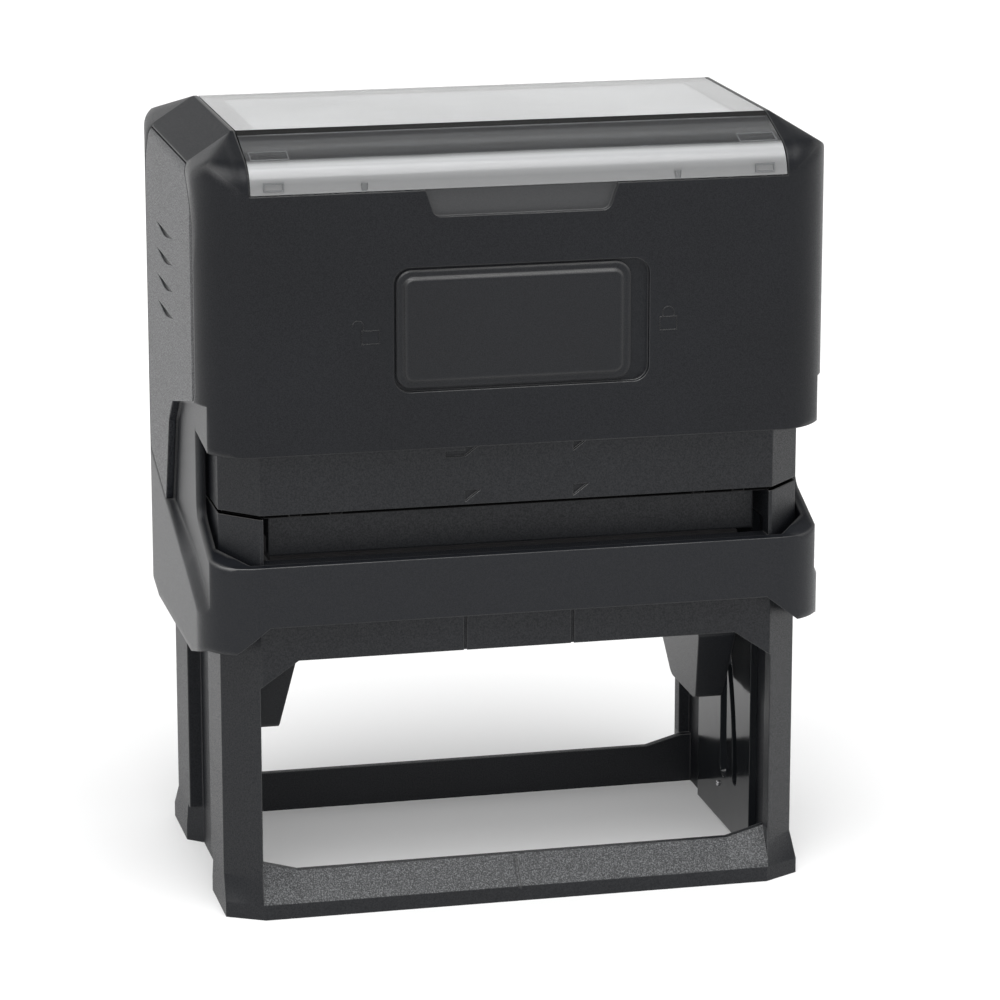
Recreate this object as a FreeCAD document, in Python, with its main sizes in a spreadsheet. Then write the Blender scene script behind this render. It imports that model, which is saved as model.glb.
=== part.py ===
import FreeCAD, Part
import math
import os
import re
import Sketcher

# A self-inking stamp. X runs across the width, Y from front to back, Z up from the surface it stands on.
# The moving cap slides down over the fixed base frame, and the text plate turns over on the way.

DIMS = {
    # how far a cut runs past the surface it starts at
    "over": 1.0,
    # base frame
    "foot_wide": 90.0,
    "foot_deep": 55.8,
    "foot_cut_wide": 5.6,
    "foot_cut_deep": 3.1,
    "foot_face": 2.3,
    "foot_top": 6.5,
    "foot_blend": 6.0,
    "foot_slope_drop": 1.2,
    "lip_half": 23.4,
    "slope_half": 24.5,
    "post_half": 44.76,
    "frame_half_deep": 27.3,
    "post_cut_wide": 5.36,
    "post_cut_deep": 5.5,
    "window_half": 39.6,
    "window_corner": 5.8,
    "window_corner_low": 1.6,
    "window_corner_high": 4.0,
    "lintel_low": 40.4,
    "lintel_top": 55.4,
    "hollow_half": 41.4,
    "hollow_half_deep": 24.5,
    "bay_half": 38.9,
    "bay_low": 57.6,
    "frame_top": 62.4,
    "web_out": 42.6,
    "channel_half": 10.3,
    "channel_flare": 2.9,
    "mark_half": 0.25,
    "mark_depth": 0.4,
    "mark_at": 8.3,
    "mark_wide": 2.4,
    "mark_high": 5.6,
    # upper frame
    "upper_low": 63.0,
    "upper_top": 74.9,
    "upper_floor": 65.0,
    "seam_inset": 0.7,
    "tab_at": 31.0,
    "tab_apart": 3.1,
    "tab_half": 0.9,
    "tab_high": 0.35,
    "notch_rise": 1.8,
    "notch_start": 0.4,
    "notch_upper": 70.4,
    "notch_deep": 0.5,
    "pocket_wide": 3.0,
    "pocket_high": 0.9,
    "upper_half": 40.5,
    "cup_radius": 7.2,
    "cup_bore": 6.0,
    "cup_root": 0.5,
    "cup_top": 70.0,
    "vent_half": 14.0,
    "vent_deep": 16.0,
    # cam plates
    "cam_in": 40.2,
    "cam_half": 14.7,
    "cam_low": 0.4,
    "cam_top": 57.4,
    "groove_depth": 0.9,
    "slot_half": 1.8,
    # pivot and travel
    "axle_high": 45.0,
    "travel": 35.0,
    "pin_radius": 1.5,
    "pin_play": 0.06,
    "pin_in": 35.4,
    "pin_out": 45.0,
    "crank": 6.5,
    "follower_radius": 1.0,
    "follower_play": 0.25,
    "follower_out": 40.9,
    # text plate holder, measured up from the axle
    "holder_half": 37.9,
    "holder_deep": 19.5,
    "holder_low": 5.0,
    "holder_top": 7.5,
    "rib_low": 1.5,
    "rib_at": 12.5,
    "rib_wide": 1.4,
    "ear_in": 33.4,
    "ear_out": 37.8,
    "ear_slope": 2.6,
    "ear_top_half": 14.0,
    "ear_knee": 9.0,
    "ear_tip_half": 7.2,
    "ear_tip": 21.2,
    "ear_round": 2.0,
    "foam_half": 36.8,
    "foam_deep": 19.0,
    "foam_top": 8.5,
    "text_half": 36.5,
    "text_deep": 18.8,
    "text_base": 9.2,
    "text_top": 10.0,
    "text_line": 1.0,
    "text_margin": 1.6,
    "text_inset": 6.0,
    "text_first": 11.8,
    "text_pitch": 5.9,
    # ink pad cartridge
    "tray_half": 37.5,
    "tray_half_deep": 23.5,
    "tray_low": 58.3,
    "tray_top": 62.2,
    "tray_roof": 0.7,
    "skirt_low": 55.8,
    "skirt_in": 21.4,
    "pad_half": 36.6,
    "pad_deep": 20.2,
    "pad_low": 57.8,
    "pad_top": 61.5,
    # cap
    "cap_half": 48.2,
    "cap_deep": 29.2,
    "cap_round": 8.0,
    "cap_top": 118.9,
    "cap_flat_half": 41.15,
    "cap_shoulder": 114.4,
    "shoulder_round": 3.0,
    "edge_reach": 8.0,
    "cap_ridge": 16.8,
    "cap_brow": 114.7,
    "brow_round": 5.5,
    "cap_in": 45.4,
    "cap_in_deep": 27.6,
    "cap_in_cut": 4.5,
    "cap_roof": 110.2,
    "wing_low": 39.7,
    "wing_corner": 42.2,
    "wing_rise": 16.0,
    "wing_front": 25.3,
    "collar_low": 46.2,
    "collar_top": 55.5,
    "collar_flat": 38.3,
    "collar_end": 43.4,
    "cap_edge": 72.2,
    "edge_rise": 1.4,
    "rim_end": 27.6,
    "window_side": 14.9,
    "window_side_low": 60.6,
    "window_round": 3.0,
    "rear_half": 39.0,
    "side_in": 46.8,
    # cover, card and tray
    "cover_half": 40.4,
    "cover_low": 111.3,
    "cover_wall": 1.6,
    "seat_gap": 0.2,
    "card_half": 36.4,
    "card_deep": 15.4,
    "card_low": 116.5,
    "card_thick": 0.3,
    "well_half": 37.0,
    "well_deep": 16.0,
    "well_low": 113.8,
    "card_play": 0.1,
    "notch_half": 14.6,
    "notch_low": 107.1,
    "notch_lip": 1.4,
    "notch_depth": 0.9,
    "notch_round": 1.4,
    # side panels
    "panel_edge": 22.8,
    "panel_back": 21.4,
    "panel_low": 79.6,
    "panel_step": 2.2,
    "panel_step_low": 75.0,
    "panel_waist": 1.6,
    "panel_waist_low": 71.4,
    "panel_tail": 6.2,
    "panel_tail_low": 57.6,
    "panel_back_low": 62.6,
    "panel_drop": 6.0,
    "panel_thick": 1.1,
    "panel_gap": 0.25,
    "panel_bevel": 0.4,
    "grip_at": 3.0,
    "grip_half": 7.6,
    "grip_pitch": 4.1,
    "grip_first": 100.8,
    "grip_bow": 1.2,
    "grip_round": 17.0,
    "grip_cut": 0.4,
    # the arm beside the front window
    "arm_low": 53.9,
    "arm_low_at": 12.7,
    "arm_front_low": 49.0,
    "arm_slope": 2.2,
    # lock
    "lock_recess_half": 19.4,
    "lock_low": 81.0,
    "lock_high": 99.7,
    "lock_round": 2.4,
    "lock_depth": 0.8,
    "lock_gap": 0.4,
    "lock_wide": 35.6,
    "lock_proud": 0.2,
    "lock_rim": 0.5,
    "lock_play": 0.15,
    "lock_float": 0.05,
    "lock_travel": 2.5,
    "lock_bevel": 1.3,
    "stud_radius": 1.2,
    "stud_at": 4.0,
    "catch_half": 5.8,
    "catch_low": 86.5,
    "catch_high": 94.0,
    "catch_recess": 0.4,
    "catch_thick": 0.34,
    "catch_gap": 0.04,
    "lock_mid": 90.3,
    # yoke and springs
    "yoke_in": 42.9,
    "yoke_out": 45.1,
    "yoke_half": 9.6,
    "yoke_low": 40.6,
    "yoke_cut": 4.0,
    "coil_at": 27.0,
    "coil_radius": 4.8,
    "coil_wire": 0.9,
    "coil_turns": 9.0,
    "coil_play": 0.05,
}

doc = FreeCAD.newDocument("self_inking_stamp")
sheet = doc.addObject("Spreadsheet::Sheet", "dims")
for row, (alias, value) in enumerate(DIMS.items(), 1):
    sheet.set(f"A{row}", str(value))
    sheet.setAlias(f"A{row}", alias)
doc.recompute()

NORMAL = {"XY_Plane": 1, "YZ_Plane": 1, "XZ_Plane": -1}
RING = 50
TINY = 1e-6
LEAST_CHANGE = 1e-3
X_AXIS = FreeCAD.Vector(1, 0, 0)
Z_AXIS = FreeCAD.Vector(0, 0, 1)
nodes = []


def size(alias):
    """The number that the sheet holds for an alias."""
    return float(sheet.get(alias))


def sized(text):
    """An expression written in aliases, as FreeCAD reads it."""
    return re.sub(r"[a-z]+(_[a-z]+)*", r"dims.\g<0>", text)


def new_body(label):
    body = doc.addObject("PartDesign::Body", label)
    body.Label = label
    nodes.append(body)
    return body


def new_sketch(body, plane, level):
    """A sketch parallel to one of the body's own origin planes, at a level along that plane's world axis."""
    sketch = body.newObject("Sketcher::SketchObject", "outline")
    origin_plane = next(f for f in body.Origin.OriginFeatures if f.Role == plane)
    sketch.AttachmentSupport = [(origin_plane, "")]
    sketch.MapMode = "FlatFace"
    sign = "" if NORMAL[plane] > 0 else "-"
    sketch.setExpression("AttachmentOffset.Base.z", sized(f"{sign}({level})"))
    return sketch


def bind(sketch, kind, *where, value, text):
    """A dimension of a sketch, bound to an expression."""
    index = sketch.addConstraint(Sketcher.Constraint(kind, *where, value))
    sketch.setExpression(f"Constraints[{index}]", sized(text))


def draw_polygon(sketch, corners):
    """A closed loop of lines whose corners are bound to pairs of expressions. Returns the solved corners."""
    count = len(corners)
    turns = [2 * math.pi * i / count for i in range(count)]
    ring = [FreeCAD.Vector(RING * math.cos(a), RING * math.sin(a), 0) for a in turns]
    for i in range(count):
        sketch.addGeometry(Part.LineSegment(ring[i], ring[(i + 1) % count]))
    for i in range(count):
        sketch.addConstraint(Sketcher.Constraint("Coincident", i, 2, (i + 1) % count, 1))
    for i, corner in enumerate(corners):
        bind(sketch, "DistanceX", -1, 1, i, 1, value=ring[i].x, text=corner[0])
        bind(sketch, "DistanceY", -1, 1, i, 1, value=ring[i].y, text=corner[1])
    doc.recompute()
    return [sketch.getPoint(i, 1) for i in range(count)]


def round_corner(points, i, radius):
    """Where a round of this radius leaves the two sides of corner i, and the middle of its arc."""
    corner = points[i]
    back = (points[i - 1] - corner).normalize()
    on = (points[(i + 1) % len(points)] - corner).normalize()
    half = back.getAngle(on) / 2
    reach = radius / math.tan(half)
    middle = (back + on).normalize() * (radius / math.sin(half) - radius)
    return corner + back * reach, corner + middle, corner + on * reach


def draw_rounds(sketch, corners, points):
    """Real lines and arcs over the construction polygon, with a round at each corner that has a radius."""
    count = len(corners)
    for i in range(count):
        sketch.setConstruction(i, True)
    starts, ends = list(points), list(points)
    arcs = {}
    for i, corner in enumerate(corners):
        if len(corner) == 3:
            ends[i], middle, starts[i] = round_corner(points, i, size(corner[2]))
            arcs[i] = sketch.addGeometry(Part.Arc(ends[i], middle, starts[i]))
    lines = [sketch.addGeometry(Part.LineSegment(starts[i], ends[(i + 1) % count])) for i in range(count)]
    for i, line in enumerate(lines):
        after = (i + 1) % count
        if i not in arcs:
            sketch.addConstraint(Sketcher.Constraint("Coincident", line, 1, i, 1))
        else:
            sketch.addConstraint(Sketcher.Constraint("PointOnObject", line, 1, i))
        if after not in arcs:
            sketch.addConstraint(Sketcher.Constraint("Coincident", line, 2, after, 1))
        else:
            sketch.addConstraint(Sketcher.Constraint("PointOnObject", line, 2, i))
    for i, arc in arcs.items():
        first = 1 if sketch.getPoint(arc, 1).distanceToPoint(ends[i]) < TINY else 2
        sketch.addConstraint(Sketcher.Constraint("Tangent", lines[i - 1], 2, arc, first))
        sketch.addConstraint(Sketcher.Constraint("Tangent", lines[i], 1, arc, 3 - first))
        bind(sketch, "Radius", arc, value=size(corners[i][2]), text=corners[i][2])


def finish(body, kind, sketch, low, high):
    """Pad or pocket a sketch from its level to the other end, and check that a pocket cuts."""
    before = body.Tip.Shape.Volume if body.Tip else 0
    feature = body.newObject(f"PartDesign::{kind}", kind.lower())
    feature.Profile = sketch
    feature.setExpression("Length", sized(f"({high}) - ({low})"))
    if kind == "Pocket":
        feature.Reversed = True
    doc.recompute()
    after = feature.Shape.Volume
    gained = after - before if kind == "Pad" else before - after
    if gained < LEAST_CHANGE:
        raise RuntimeError(f"{body.Label}: {feature.Name} changes nothing")
    return feature


def prism(body, kind, plane, low, high, corners):
    """A pad or pocket of an outline between two levels along the plane's world axis."""
    sketch = new_sketch(body, plane, low if NORMAL[plane] > 0 else high)
    points = draw_polygon(sketch, corners)
    if any(len(corner) == 3 for corner in corners):
        draw_rounds(sketch, corners, points)
    return finish(body, kind, sketch, low, high)


def loft(body, kind, plane, *sections):
    """A ruled loft through outlines, each with its level along the plane's world axis."""
    sketches = []
    for level, corners in sections:
        sketches.append(new_sketch(body, plane, level))
        draw_polygon(sketches[-1], corners)
    feature = body.newObject(f"PartDesign::{kind}Loft", "loft")
    feature.Profile = sketches[0]
    feature.Sections = sketches[1:]
    feature.Ruled = True
    doc.recompute()


def disc(body, kind, plane, low, high, centre, radius):
    """A round pad or pocket between two levels along the plane's world axis."""
    sketch = new_sketch(body, plane, low if NORMAL[plane] > 0 else high)
    circle = Part.Circle(FreeCAD.Vector(1, 1, 0), Z_AXIS, size(radius.split()[0]))
    sketch.addGeometry(circle)
    bind(sketch, "DistanceX", -1, 1, 0, 3, value=1, text=centre[0])
    bind(sketch, "DistanceY", -1, 1, 0, 3, value=1, text=centre[1])
    bind(sketch, "Radius", 0, value=size(radius.split()[0]), text=radius)
    return finish(body, kind, sketch, low, high)


def box(across, up, *radius):
    """The corners of a rectangle from two (low, high) pairs, with an optional round."""
    (left, right), (low, high) = across, up
    return [(x, y, *radius) for x, y in ((left, low), (right, low), (right, high), (left, high))]


def both(half):
    """The (low, high) pair of a span centred on zero."""
    return f"-({half})", f"{half}"


def octagon(half, deep, cut, cut_deep):
    """The corners of a rectangle whose four corners are cut off."""
    quarter = [(1, 1), (-1, 1), (-1, -1), (1, -1)]
    out = []
    for x, y in quarter:
        side = (f"{x} * ({half})", f"{y} * (({deep}) - ({cut_deep}))")
        end = (f"{x} * (({half}) - ({cut}))", f"{y} * ({deep})")
        out += [side, end] if x * y > 0 else [end, side]
    return out


def span(side, inner, outer):
    """The (low, high) pair of a span on the left (-1) or right (1)."""
    return (inner, outer) if side > 0 else (f"-({outer})", f"-({inner})")



def build_base_frame():
    """Foot ring, four posts, two lintels and two side webs, open at the front, the back and the bottom."""
    body = new_body("base_frame")
    foot = octagon("foot_wide / 2", "foot_deep / 2", "foot_cut_wide", "foot_cut_deep")
    posts = octagon("post_half", "frame_half_deep", "post_cut_wide", "post_cut_deep")
    prism(body, "Pad", "XY_Plane", "0", "foot_face", foot)
    loft(body, "Additive", "XY_Plane", ("foot_face", foot), ("foot_blend", posts))
    prism(body, "Pad", "XY_Plane", "foot_blend", "frame_top", posts)
    lip_top = "foot_top + window_corner_low"
    prism(body, "Pocket", "XY_Plane", "0", lip_top, box(both("hollow_half"), both("lip_half")))
    hollow = box(both("hollow_half"), both("hollow_half_deep"))
    prism(body, "Pocket", "XY_Plane", lip_top, "bay_low", hollow)
    bay = box(both("bay_half"), both("hollow_half_deep"))
    prism(body, "Pocket", "XY_Plane", "bay_low", "frame_top", bay)
    depth = both("foot_deep / 2 + over")
    window = [
        ("window_half", "foot_top + window_corner_low"),
        ("window_half", "lintel_low - window_corner_high"),
        ("window_half - window_corner", "lintel_low"),
        ("-window_half + window_corner", "lintel_low"),
        ("-window_half", "lintel_low - window_corner_high"),
        ("-window_half", "foot_top + window_corner_low"),
        ("-window_half + window_corner", "foot_top"),
        ("window_half - window_corner", "foot_top"),
    ]
    prism(body, "Pocket", "XZ_Plane", *depth, window)
    mouth = box(both("bay_half"), ("lintel_top", "frame_top"))
    prism(body, "Pocket", "XZ_Plane", *depth, mouth)
    for side in (-1, 1):
        slope_foot_bar(body, side)
        channel = box(span(side, "web_out", "foot_wide / 2 + over"), both("channel_half"))
        prism(body, "Pocket", "XY_Plane", "0", "frame_top", channel)
        mouth = [
            (f"{side} * web_out", "-channel_half"),
            (f"{side} * (foot_wide / 2 + over)", "-channel_half - channel_flare"),
            (f"{side} * (foot_wide / 2 + over)", "channel_half + channel_flare"),
            (f"{side} * web_out", "channel_half"),
        ]
        prism(body, "Pocket", "XY_Plane", "0", "foot_blend", mouth)
        slot = box(both("slot_half"), ("foot_top", "axle_high + slot_half"))
        prism(body, "Pocket", "YZ_Plane", *span(side, "hollow_half", "web_out"), slot)
        deep = span(side, "frame_half_deep - mark_depth", "frame_half_deep + over")
        for column in (-1, 1):
            middle = f"{column} * mark_at"
            across = (f"{middle} - mark_half", f"{middle} + mark_half")
            mark = box(across, ("lintel_low", "lintel_low + mark_high"))
            prism(body, "Pocket", "XZ_Plane", *deep, mark)
    return body


def foot_wedge(side, lift):
    """The room over a foot bar's sloping top, with the upper end of the slope lifted."""
    return [
        (f"{side} * (foot_deep / 2 + over)", "foot_face - foot_slope_drop"),
        (f"{side} * slope_half", f"foot_top + {lift}"),
        (f"{side} * slope_half", f"foot_top + {lift} + over"),
        (f"{side} * (foot_deep / 2 + over)", f"foot_top + {lift} + over"),
    ]


def slope_foot_bar(body, side):
    """Slope a foot bar's top down to its outer face, up into the window's corners, with a mark halfway."""
    straight, corner = "window_half - window_corner", "window_half"
    prism(body, "Pocket", "YZ_Plane", *both(straight), foot_wedge(side, "0"))
    for end in (-1, 1):
        inner = (f"{end} * ({straight})", foot_wedge(side, "0"))
        outer = (f"{end} * {corner}", foot_wedge(side, "window_corner_low"))
        loft(body, "Subtractive", "YZ_Plane", inner, outer)
    mark = [
        (f"{side} * (foot_deep / 2 + over)", "foot_face - foot_slope_drop - mark_depth"),
        (f"{side} * slope_half", "foot_top - mark_depth"),
        (f"{side} * slope_half", "foot_top + over"),
        (f"{side} * (foot_deep / 2 + over)", "foot_top + over"),
    ]
    prism(body, "Pocket", "YZ_Plane", *both("mark_half"), mark)


def build_upper_frame():
    """The collar that closes the frame over the ink pad, with a cup for each return spring."""
    body = new_body("upper_frame")
    outer = octagon("post_half", "frame_half_deep", "post_cut_wide", "post_cut_deep")
    inset = ("post_half - seam_inset", "frame_half_deep - seam_inset")
    neck = octagon(*inset, "post_cut_wide", "post_cut_deep")
    prism(body, "Pad", "XY_Plane", "frame_top", "upper_low", neck)
    prism(body, "Pad", "XY_Plane", "upper_low", "upper_top", outer)
    room = box(both("upper_half"), both("hollow_half_deep"))
    prism(body, "Pocket", "XY_Plane", "upper_floor", "upper_top", room)
    vent = box(both("vent_half"), both("vent_deep"))
    prism(body, "Pocket", "XY_Plane", "frame_top", "upper_floor", vent)
    for side in (-1, 1):
        centre = (f"{side} * coil_at", "0")
        disc(body, "Pad", "XY_Plane", "upper_floor - cup_root", "cup_top", centre, "cup_radius")
        disc(body, "Pocket", "XY_Plane", "upper_floor", "cup_top", centre, "cup_bore")
        channel = box(span(side, "web_out", "post_half + over"), both("channel_half"))
        prism(body, "Pocket", "XY_Plane", "frame_top", "upper_top", channel)
        mark_upper_frame(body, side)
    return body


def mark_upper_frame(body, side):
    """The small moulded marks on one long face: wedges, a pocket, and tabs in the seam below."""
    deep = span(side, "frame_half_deep - notch_deep", "frame_half_deep + over")
    seam = span(side, "frame_half_deep - seam_inset", "frame_half_deep")
    for column in (-1, 1):
        start = f"{column} * mark_at"
        for level in ("upper_low + notch_start", "notch_upper"):
            wedge = [
                (start, level),
                (f"{start} + mark_wide", f"{level} + notch_rise"),
                (start, f"{level} + notch_rise"),
            ]
            prism(body, "Pocket", "XZ_Plane", *deep, wedge)
        for step in (-1, 1):
            middle = f"{column} * tab_at + {step} * tab_apart"
            across = (f"{middle} - tab_half", f"{middle} + tab_half")
            tab = box(across, ("upper_low - tab_high", "upper_low"))
            prism(body, "Pad", "XZ_Plane", *seam, tab)
    pocket = box(("-mark_at - pocket_wide", "-mark_at"), ("notch_upper", "notch_upper + pocket_high"))
    prism(body, "Pocket", "XZ_Plane", *deep, pocket)


def turning_groove():
    """The closed outline of the curved groove, on the inner face of the right-hand cam plate."""
    tall, crank = size("travel"), size("crank")
    width = size("follower_radius") + size("follower_play")
    steps = 24
    outer, inner, along = [], [], []
    for i in range(steps + 1):
        turn = math.pi * i / steps
        drop = tall * i / steps
        middle = FreeCAD.Vector(
            size("cam_in"),
            crank * math.cos(turn),
            size("axle_high") - drop + crank * math.sin(turn),
        )
        swing = crank * math.pi
        heading = FreeCAD.Vector(0, -swing * math.sin(turn), swing * math.cos(turn) - tall)
        heading.normalize()
        across = X_AXIS.cross(heading) * width
        outer.append(middle + across)
        inner.append(middle - across)
        along.append((middle, heading * width))
    outer_side, inner_side = Part.BSplineCurve(), Part.BSplineCurve()
    outer_side.interpolate(outer)
    inner_side.interpolate(inner)
    (start, start_heading), (end, end_heading) = along[0], along[-1]
    start_round = Part.Arc(inner[0], start - start_heading, outer[0])
    end_round = Part.Arc(outer[-1], end + end_heading, inner[-1])
    return Part.Wire([part.toShape() for part in (outer_side, end_round, inner_side, start_round)])


def build_cam_plate(side, label):
    """A thin side plate with a straight slot for the axle and a curved groove that turns the text plate."""
    inner, thick = size("cam_in"), size("hollow_half") - size("cam_in")
    half, low, top = size("cam_half"), size("cam_low"), size("cam_top")
    blank = Part.makeBox(thick, 2 * half, top - low, FreeCAD.Vector(inner, -half, low))
    radius, tall, axle = size("slot_half"), size("travel"), size("axle_high")
    slot = Part.makeBox(thick, 2 * radius, tall, FreeCAD.Vector(inner, -radius, axle - tall))
    for height in (axle, axle - tall):
        slot = slot.fuse(Part.makeCylinder(radius, thick, FreeCAD.Vector(inner, 0, height), X_AXIS))
    groove = Part.Face(turning_groove()).extrude(X_AXIS * size("groove_depth"))
    shape = blank.cut(slot).cut(groove).Solids[0]
    if side < 0:
        shape = shape.mirror(FreeCAD.Vector(0, 0, 0), X_AXIS)
    plate = doc.addObject("Part::Feature", label)
    plate.Label = label
    plate.Shape = shape
    nodes.append(plate)
    return plate


def build_return_spring(side, label):
    """A coil spring between the upper frame and the cap's roof."""
    body = new_body(label)
    sketch = new_sketch(body, "XZ_Plane", "0")
    wire = size("coil_wire") / 2
    centre = FreeCAD.Vector(size("coil_radius"), size("upper_floor"), 0)
    sketch.addGeometry(Part.Circle(centre, Z_AXIS, wire))
    bind(sketch, "DistanceX", -1, 1, 0, 3, value=centre.x, text="coil_radius")
    bind(sketch, "DistanceY", -1, 1, 0, 3, value=centre.y, text="upper_floor + coil_wire / 2 + coil_play")
    bind(sketch, "Radius", 0, value=wire, text="coil_wire / 2")
    helix = body.newObject("PartDesign::AdditiveHelix", "coil")
    helix.Profile = sketch
    helix.ReferenceAxis = (sketch, ["V_Axis"])
    helix.Mode = 2
    helix.setExpression("Turns", sized("coil_turns"))
    helix.setExpression("Height", sized("cap_roof - upper_floor - coil_wire - 2 * coil_play"))
    helix.Reversed = False
    body.setExpression("Placement.Base.x", sized(f"{side} * coil_at"))
    doc.recompute()
    return body


def build_pad_cartridge():
    """The tray that holds the ink pad face down and slides out between the posts."""
    body = new_body("pad_cartridge")
    outer = box(both("tray_half"), both("tray_half_deep"))
    prism(body, "Pad", "XY_Plane", "tray_low", "tray_top", outer)
    for side in (-1, 1):
        skirt = box(both("tray_half"), span(side, "skirt_in", "tray_half_deep"))
        prism(body, "Pad", "XY_Plane", "skirt_low", "tray_low", skirt)
    well = box(both("pad_half"), both("pad_deep"))
    prism(body, "Pocket", "XY_Plane", "tray_low", "tray_top - tray_roof", well)
    return body


def build_ink_pad():
    """The felt pad in the cartridge, standing a little proud of its rim."""
    body = new_body("ink_pad")
    felt = box(both("pad_half"), both("pad_deep"))
    prism(body, "Pad", "XY_Plane", "pad_low", "pad_top", felt)
    return body


def build_cap_shell():
    """Cap, side arms and front and back collars as one moulding."""
    body = new_body("cap_shell")
    plan = box(both("cap_half"), both("cap_deep"), "cap_round")
    prism(body, "Pad", "XY_Plane", "wing_low", "cap_top", plan)
    inside = octagon("cap_in", "cap_in_deep", "cap_in_cut", "cap_in_cut")
    prism(body, "Pocket", "XY_Plane", "wing_low", "cap_roof", inside)
    through = both("cap_half + over")
    depth = both("cap_deep + over")
    for side in (-1, 1):
        round_shoulder(body, side)
        round_brow(body, side, through)
    seat_cover(body)
    cut_notches(body)
    cut_wings(body, through, depth)
    cut_windows(body, through)
    cut_lock_recess(body)
    for side in (-1, 1):
        panel = panel_outline("0")
        low, high = span(side, "cap_half - panel_thick", "cap_half + over")
        prism(body, "Pocket", "YZ_Plane", low, high, panel)
        relieve_arm(body, side)
    return body


def round_shoulder(body, side):
    """Slope the top down to one side and round it into the side face."""
    edge = [
        (f"{side} * cap_flat_half", "cap_top"),
        (f"{side} * cap_half", "cap_shoulder", "shoulder_round"),
        (f"{side} * cap_half", "cap_shoulder - edge_reach"),
        (f"{side} * (cap_half + over)", "cap_shoulder - edge_reach"),
        (f"{side} * (cap_half + over)", "cap_top + over"),
        (f"{side} * cap_flat_half", "cap_top + over"),
    ]
    prism(body, "Pocket", "XZ_Plane", *both("cap_deep + over"), edge)


def round_brow(body, side, through):
    """Slope the top down from the ridge and round it into the front or back face."""
    edge = [
        (f"{side} * cap_ridge", "cap_top"),
        (f"{side} * cap_deep", "cap_brow", "brow_round"),
        (f"{side} * cap_deep", "cap_brow - edge_reach"),
        (f"{side} * (cap_deep + over)", "cap_brow - edge_reach"),
        (f"{side} * (cap_deep + over)", "cap_top + over"),
        (f"{side} * cap_ridge", "cap_top + over"),
    ]
    prism(body, "Pocket", "YZ_Plane", *through, edge)


def seat_cover(body):
    """The seat for the clear cover, and the well for the card tray under it."""
    seat = [
        ("-cap_deep - over", "cover_low - seat_gap"),
        ("-(cap_deep - cover_wall - seat_gap)", "cover_low - seat_gap"),
        ("-(cap_deep - cover_wall - seat_gap)", "cap_brow - cover_wall"),
        ("-cap_ridge", "cap_top - cover_wall - seat_gap"),
        ("cap_ridge", "cap_top - cover_wall - seat_gap"),
        ("cap_deep - cover_wall - seat_gap", "cap_brow - cover_wall"),
        ("cap_deep - cover_wall - seat_gap", "cover_low - seat_gap"),
        ("cap_deep + over", "cover_low - seat_gap"),
        ("cap_deep + over", "cap_top + over"),
        ("-cap_deep - over", "cap_top + over"),
    ]
    prism(body, "Pocket", "YZ_Plane", *both("cover_half + seat_gap"), seat)
    well = box(both("well_half"), both("well_deep"))
    prism(body, "Pocket", "XY_Plane", "well_low", "cap_top", well)


def cut_notches(body):
    """A finger notch under the cover's edge, at the front and at the back."""
    for side in (-1, 1):
        notch = [
            ("-notch_half", "cover_low"),
            ("-notch_half + notch_lip", "notch_low", "notch_round"),
            ("notch_half - notch_lip", "notch_low", "notch_round"),
            ("notch_half", "cover_low"),
        ]
        low, high = span(side, "cap_deep - notch_depth", "cap_deep + over")
        prism(body, "Pocket", "XZ_Plane", low, high, notch)


def cut_wings(body, through, depth):
    """Trim the lower edge: collars at front and back, wings at the sides."""
    collar = [
        ("-collar_end", "wing_low - over"),
        ("collar_end", "wing_low - over"),
        ("collar_end", "wing_corner"),
        ("collar_flat", "collar_low"),
        ("-collar_flat", "collar_low"),
        ("-collar_end", "wing_corner"),
    ]
    prism(body, "Pocket", "XZ_Plane", *depth, collar)
    for side in (-1, 1):
        corner = [
            (f"{side} * wing_rise", "wing_low"),
            (f"{side} * wing_front", "wing_corner"),
            (f"{side} * (cap_deep + over)", "wing_corner"),
            (f"{side} * (cap_deep + over)", "wing_low - over"),
            (f"{side} * wing_rise", "wing_low - over"),
        ]
        prism(body, "Pocket", "YZ_Plane", *through, corner)


def cut_windows(body, through):
    """The front window wraps round both corners; the back one stays between them."""
    front = [
        ("-cap_deep - over", "collar_top"),
        ("-rim_end", "collar_top", "window_round"),
        ("-window_side", "window_side_low", "window_round"),
        ("-window_side", "cap_edge + edge_rise"),
        ("-cap_deep - over", "cap_edge"),
    ]
    prism(body, "Pocket", "YZ_Plane", *through, front)
    back = box(both("rear_half"), ("collar_top", "cap_edge"), "lock_round")
    prism(body, "Pocket", "XZ_Plane", "cap_in_deep - over", "cap_deep + over", back)


def cut_lock_recess(body):
    """The recess that the lock slides in, two slots through its floor, and the catch's room behind it."""
    recess = box(both("lock_recess_half"), ("lock_low", "lock_high"), "lock_round")
    prism(body, "Pocket", "XZ_Plane", "-cap_deep - over", "-cap_deep + lock_depth", recess)
    for end in (-1, 1):
        middle = f"{end} * stud_at"
        across = (f"{middle} - stud_radius - lock_play", f"{middle} + stud_radius + lock_play + lock_travel")
        slot = box(across, ("lock_mid - stud_radius - lock_play", "lock_mid + stud_radius + lock_play"))
        prism(body, "Pocket", "XZ_Plane", "-cap_deep", "-cap_in_deep", slot)
    across = ("-catch_half - lock_play", "catch_half + lock_play + lock_travel")
    room = box(across, ("catch_low - lock_play", "catch_high + lock_play"))
    prism(body, "Pocket", "XZ_Plane", "-cap_in_deep - catch_recess", "-cap_in_deep", room)


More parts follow.
